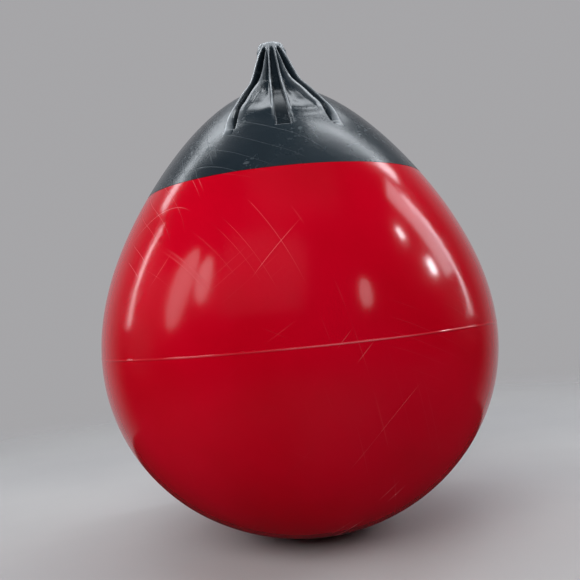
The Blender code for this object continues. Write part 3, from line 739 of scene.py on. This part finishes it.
def black_vinyl():
    s = Shader("black_vinyl_worn")
    cloud = s.noise(9.0, 4.0)
    base = s.mix(s.span(cloud, 0.35, 0.65), (0.011, 0.018, 0.025, 1.0), (0.017, 0.027, 0.036, 1.0))
    fine = s.scratches([(1.0, 0.2, -0.6), (-0.6, 0.5, 1.0), (0.9, -0.6, 0.35), (0.8, 0.6, 0.5)],
                       0.020, 0.010, 0.57)
    long = s.scratches([(0.9, 0.1, 0.75), (0.45, -0.4, 1.0)], 0.060, 0.0035, 0.58)
    scuff = s.math("MULTIPLY", s.span(s.noise(260.0, 3.0), 0.54, 0.70), s.span(s.noise(22.0, 3.0), 0.46, 0.62))
    pale = (0.14, 0.17, 0.19, 1.0)
    base = s.mix(s.math("MULTIPLY", fine, 0.20), base, pale)
    base = s.mix(s.math("MULTIPLY", long, 0.45), base, pale)
    base = s.mix(s.math("MULTIPLY", scuff, 0.34), base, pale)
    # The rope hold's wear attribute with painted light: negative values give painted shade in the slots and the
    # channel, positive values pale rubbed edges that are partly a painted highlight
    wear_and_painted_light = s.add("ShaderNodeAttribute", attribute_name="wear_and_painted_light").outputs["Fac"]
    hollow_painted_shade = s.span(wear_and_painted_light, 0.0, -1.0)
    # Painted shade: the slots and the channel darkened almost to black
    base = s.mix(s.math("MULTIPLY", hollow_painted_shade, 0.6), base, (0.003, 0.005, 0.007, 1.0))
    # Rubbed edges made paler: real wear with a painted highlight, strongest on the rails and the cap
    rubbed_and_highlight = s.math("MULTIPLY", s.math("MAXIMUM", wear_and_painted_light, 0.0), s.span(s.noise(90.0, 3.0), 0.30, 0.62, 0.70, 1.0))
    base = s.mix(s.math("MULTIPLY", rubbed_and_highlight, 0.85), base, (0.74, 0.80, 0.86, 1.0))
    rough = s.span(s.noise(13.0, 5.0), 0.3, 0.7, 0.19, 0.30)
    rough = s.math("ADD", rough, s.math("MULTIPLY", s.math("ADD", fine, scuff), 0.22), clamp=True)
    grain = s.bump(s.noise(130.0, 3.0), 0.00010, s.span(rubbed_and_highlight, 0.0, 1.0, 0.6, 0.1))
    marks = s.bump(s.math("SUBTRACT", 1.0, s.math("MAXIMUM", fine, long)), 0.00006, 0.7, grain)
    s.set(Base_Color=base, Roughness=rough, Normal=marks, IOR=1.53, Coat_Weight=0.15, Coat_Roughness=0.12)
    # Painted shade also lowers the specular level in the slots and the channel
    s.set(Specular_IOR_Level=s.span(hollow_painted_shade, 0.0, 1.0, 0.5, 0.12))
    return s.material


def nylon(name, dark, light):
    """Moulded nylon: faint flow marks, a fine matt grain and slightly yellowed patches."""
    s = Shader(name)
    base = s.mix(s.span(s.noise(140.0, 4.0, distortion=0.6), 0.35, 0.65), dark, light)
    rough = s.span(s.noise(300.0, 3.0), 0.3, 0.7, 0.34, 0.48)
    s.set(Base_Color=base, Roughness=rough, Normal=s.bump(s.noise(1800.0, 2.0), 0.00003, 0.6), IOR=1.53)
    return s.material


def rubber():
    s = Shader("black_rubber")
    bloom = s.span(s.noise(180.0, 4.0), 0.45, 0.75)
    base = s.mix(bloom, (0.010, 0.010, 0.011, 1.0), (0.030, 0.030, 0.031, 1.0))
    rough = s.span(s.noise(260.0, 3.0), 0.3, 0.7, 0.58, 0.74)
    s.set(Base_Color=base, Roughness=rough, Normal=s.bump(s.noise(1500.0, 3.0), 0.00004, 0.7), IOR=1.5)
    return s.material


RED_VINYL = red_vinyl()
BLACK_VINYL = black_vinyl()
GREY_NYLON = nylon("grey_nylon_moulded", (0.085, 0.092, 0.10, 1.0), (0.12, 0.13, 0.14, 1.0))
WHITE_NYLON = nylon("white_nylon_moulded", (0.60, 0.59, 0.54, 1.0), (0.70, 0.69, 0.65, 1.0))
RUBBER = rubber()
PIECES = (
    (make_float, "body_shell", "buoy", "red_vinyl", RED_VINYL),
    (make_rope_hold, "rope_hold", "buoy", "black_vinyl", BLACK_VINYL),
    (make_valve_body, "valve_body", "buoy", "grey_nylon", GREY_NYLON),
    (make_valve_gasket, "valve_gasket", "buoy", "seal_rubber", RUBBER),
    (make_screw_o_ring, "screw_o_ring", "plug_travel", "seal_rubber", RUBBER),
    (make_valve_screw, "valve_screw", "plug", "white_nylon", WHITE_NYLON),
    (make_check_disc, "check_disc", "disc", "seal_rubber", RUBBER),
    (make_check_cage, "check_cage", "buoy", "white_nylon", WHITE_NYLON),
)
for make, node, body, slot_name, surface in PIECES:
    piece = make()
    piece.data.materials.clear()
    piece.data.materials.append(surface)
    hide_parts(node)
    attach(piece, body)


# Floor, lights and camera

def studio_floor():
    mesh = bpy.data.meshes.new("studio_floor")
    turn = 2.0 * math.pi * np.arange(96) / 96
    verts = [(0.0, 0.0, 0.0)]
    rings = (0.2, 0.5, 1.0, 1.7, 2.6)
    for radius in rings:
        verts += [(radius * math.sin(t), -radius * math.cos(t), 0.0) for t in turn]
    faces = [(0, 1 + j, 1 + (j + 1) % 96) for j in range(96)]
    for k in range(len(rings) - 1):
        a, b = 1 + k * 96, 1 + (k + 1) * 96
        faces += [(a + j, b + j, b + (j + 1) % 96, a + (j + 1) % 96) for j in range(96)]
    mesh.from_pydata(verts, [], faces)
    floor = bpy.data.objects.new("studio_floor", mesh)
    bpy.context.collection.objects.link(floor)
    s = Shader("floor_pale")
    base = s.mix(s.span(s.noise(3.0, 3.0), 0.3, 0.7), (0.42, 0.42, 0.43, 1.0), (0.46, 0.46, 0.465, 1.0))
    s.set(Base_Color=base, Roughness=s.span(s.noise(5.0, 3.0), 0.3, 0.7, 0.42, 0.50))
    length = s.add("ShaderNodeVectorMath", operation="LENGTH")
    s.feed(length.inputs[0], s.place)
    s.set(Alpha=s.span(length.outputs["Value"], 0.45, 1.5, 1.0, 0.0))
    floor.data.materials.append(s.material)
    floor.visible_glossy = False       # the float mirrors the table_reflection disc instead


def stage_surface(name, mesh, strength, **seen):
    """Plain glowing stage surface that only some kinds of ray see."""
    surface = bpy.data.materials.new(name)
    surface.use_nodes = True
    tree = surface.node_tree
    tree.nodes.clear()
    glow = tree.nodes.new("ShaderNodeEmission")
    glow.inputs["Color"].default_value = (0.98, 0.97, 1.0, 1.0)
    glow.inputs["Strength"].default_value = strength
    tree.links.new(glow.outputs[0], tree.nodes.new("ShaderNodeOutputMaterial").inputs["Surface"])
    mesh.materials.append(surface)
    card = bpy.data.objects.new(name, mesh)
    bpy.context.collection.objects.link(card)
    for ray in ("camera", "diffuse", "glossy", "transmission", "volume_scatter", "shadow"):
        setattr(card, f"visible_{ray}", ray in seen)


def dome_mesh(name, radius):
    """Sphere round the whole studio."""
    lift = np.linspace(-85.0, 85.0, 24)
    outline = [(radius * math.cos(math.radians(a)), radius * math.sin(math.radians(a))) for a in lift]
    ball = skin(name, turned_points(outline, 48), top=(0.0, 0.0, -radius), bottom=(0.0, 0.0, radius))
    mesh = ball.data
    bpy.data.objects.remove(ball)
    return mesh


def disc_mesh(name, radius, z):
    mesh = bpy.data.meshes.new(name)
    turn = 2.0 * math.pi * np.arange(64) / 64
    mesh.from_pydata([(radius * math.cos(t), radius * math.sin(t), z) for t in turn], [], [list(range(64))])
    return mesh


def add_light(name, azimuth, elevation, distance, size, power, colour=(1.0, 1.0, 1.0),
              mirrored=True, roll=0.0, shape="RECTANGLE"):
    """Flat light aimed at the float's middle, from a direction given in degrees."""
    a, e = math.radians(azimuth), math.radians(elevation)
    way = Vector((math.sin(a) * math.cos(e), -math.cos(a) * math.cos(e), math.sin(e)))
    data = bpy.data.lights.new(name, "AREA")
    data.shape = shape
    data.size, data.size_y = size
    data.energy = power
    data.color = colour
    lamp = bpy.data.objects.new(name, data)
    lamp.location = Vector((0.0, 0.0, WIDEST_Z)) + way * distance
    lamp.rotation_mode = "QUATERNION"
    spin = Matrix.Rotation(math.radians(roll), 3, "Z").to_quaternion()
    lamp.rotation_quaternion = (-way).to_track_quat("-Z", "Y") @ spin
    lamp.visible_glossy = mirrored
    bpy.context.collection.objects.link(lamp)


studio_floor()
stage_surface("backdrop", dome_mesh("backdrop", 6.0), 0.39, camera=True)
stage_surface("table_reflection", disc_mesh("table_reflection", 0.50, -0.03), 0.012, glossy=True)
COOL = (0.90, 0.95, 1.0)
add_light("side_window_left_low", -110.0, 24.0, 2.2, (0.04, 1.10), 2.2, COOL, roll=6.0)
add_light("side_window_left_high", -130.0, 52.0, 2.2, (0.20, 1.20), 3.6, COOL, roll=22.0)
add_light("side_window_right_low", 104.0, 22.0, 2.2, (0.05, 1.50), 2.8, COOL)
add_light("side_window_right_wide", 97.0, 32.0, 2.3, (0.40, 1.20), 4.4, COOL)
add_light("side_window_right_high", 114.0, 58.0, 2.2, (0.20, 1.30), 6.5, COOL)
add_light("soft_window_left_a", -72.0, 27.0, 2.2, (0.50, 1.20), 3.0, roll=-8.0, shape="ELLIPSE")
add_light("soft_window_left_b", -57.0, 32.0, 2.2, (0.34, 0.70), 1.7, roll=6.0, shape="ELLIPSE")
add_light("small_window_right_a", 76.0, 37.0, 2.0, (0.10, 0.13), 1.1, COOL)
add_light("small_window_right_b", 84.0, 23.0, 2.0, (0.15, 0.19), 2.4, COOL)
add_light("middle_window", 36.0, 22.0, 2.2, (0.26, 0.50), 0.85, roll=-10.0, shape="ELLIPSE")
add_light("rear_top", 180.0, 62.0, 2.4, (2.4, 0.7), 12.0, COOL)
add_light("broad_fill_front", -22.0, 36.0, 2.4, (1.8, 1.4), 36.0, mirrored=False)
add_light("broad_fill_left", -100.0, 16.0, 2.2, (0.8, 1.4), 16.0, mirrored=False)
add_light("broad_fill_right", 100.0, 16.0, 2.2, (0.8, 1.4), 15.0, mirrored=False)
add_light("broad_fill_top", 10.0, 80.0, 2.2, (1.6, 1.6), 14.0, mirrored=False)

# Surroundings in reflections: a dim room, with a paler wall behind the buoy
world = bpy.data.worlds.new("studio")
bpy.context.scene.world = world
world.use_nodes = True
sky = world.node_tree
background = sky.nodes["Background"]
direction = sky.nodes.new("ShaderNodeTexCoord").outputs["Generated"]
split = sky.nodes.new("ShaderNodeSeparateXYZ")
sky.links.new(direction, split.inputs[0])
depth = sky.nodes.new("ShaderNodeMapRange")
depth.interpolation_type = "SMOOTHSTEP"
for socket, value in zip(list(depth.inputs)[1:5], (0.40, 0.90, 0.012, 0.36)):
    socket.default_value = value
sky.links.new(split.outputs["Y"], depth.inputs["Value"])
sky.links.new(depth.outputs["Result"], background.inputs["Strength"])
background.inputs["Color"].default_value = (0.97, 0.96, 1.0, 1.0)

# Camera: nearly level with the float's middle, rolled so that the float leans left
CAMERA_DISTANCE = 3.871 * MAX_RADIUS
CAMERA_HEIGHT = WIDEST_Z + 0.195 * MAX_RADIUS
CAMERA_TURN = math.radians(-3.0)
camera_data = bpy.data.cameras.new("camera")
camera_data.lens = 46.05
camera_data.sensor_width = 36.0
camera_data.sensor_fit = "HORIZONTAL"
camera = bpy.data.objects.new("camera", camera_data)
right = Vector((0.99513, 0.00777, -0.09823))
up = Vector((0.09839, -0.02355, 0.99487))
forward = Vector((-0.00542, 0.99969, 0.02420))
axes = Matrix((right, up, -forward)).transposed().to_4x4()
camera.matrix_world = (Matrix.Rotation(CAMERA_TURN, 4, "Z")
                       @ Matrix.Translation((0.0, -CAMERA_DISTANCE, CAMERA_HEIGHT)) @ axes)
bpy.context.collection.objects.link(camera)
bpy.context.scene.camera = camera
bpy.context.scene.view_settings.view_transform = "Standard"
